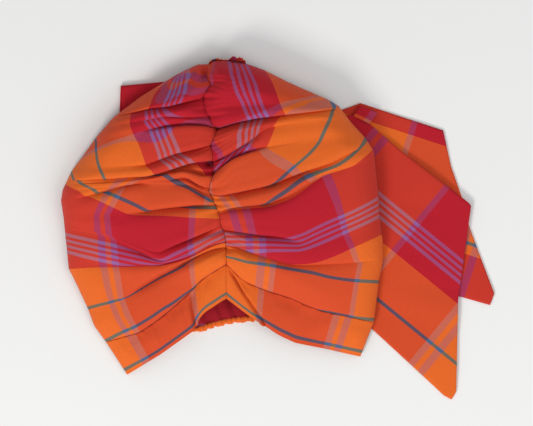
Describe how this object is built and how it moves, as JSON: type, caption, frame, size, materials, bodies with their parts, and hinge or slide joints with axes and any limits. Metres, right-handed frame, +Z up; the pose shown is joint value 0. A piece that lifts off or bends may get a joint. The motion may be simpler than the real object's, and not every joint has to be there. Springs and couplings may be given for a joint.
{
  "type": "gathered hair turban with two long ties",
  "caption": "Hair turban lying flat: a cap ruched along its centre seam, an arched brow band, a gathered nape and long slant-cut tie straps, in checked cotton cloth.",
  "frame": {"origin": "middle of the underside of the whole turban as it lies with its ties out to the right", "axes": "+Z up off the surface it lies on, +Y towards the crown, -Y towards the brow and the nape, +X towards the tails"},
  "size_m": [0.4992, 0.3912, 0.0543],
  "materials": {
    "front_cloth": "checked plain-weave cotton, matt",
    "band_cloth": "checked plain-weave cotton, doubled, matt",
    "back_cloth": "checked plain-weave cotton, matt",
    "casing_cloth": "checked plain-weave cotton, gathered on elastic",
    "tie_cloth": "checked plain-weave cotton, doubled and pressed"
  },
  "bodies": {
    "root": {"front_left": "front_cloth", "front_right": "front_cloth", "brow_band_left": "band_cloth", "brow_band_right": "band_cloth", "back_panel": "back_cloth", "nape_casing": "casing_cloth", "crown_gather": "front_cloth", "tie_left": "tie_cloth", "tie_right": "tie_cloth"}
  },
  "joints": []
}
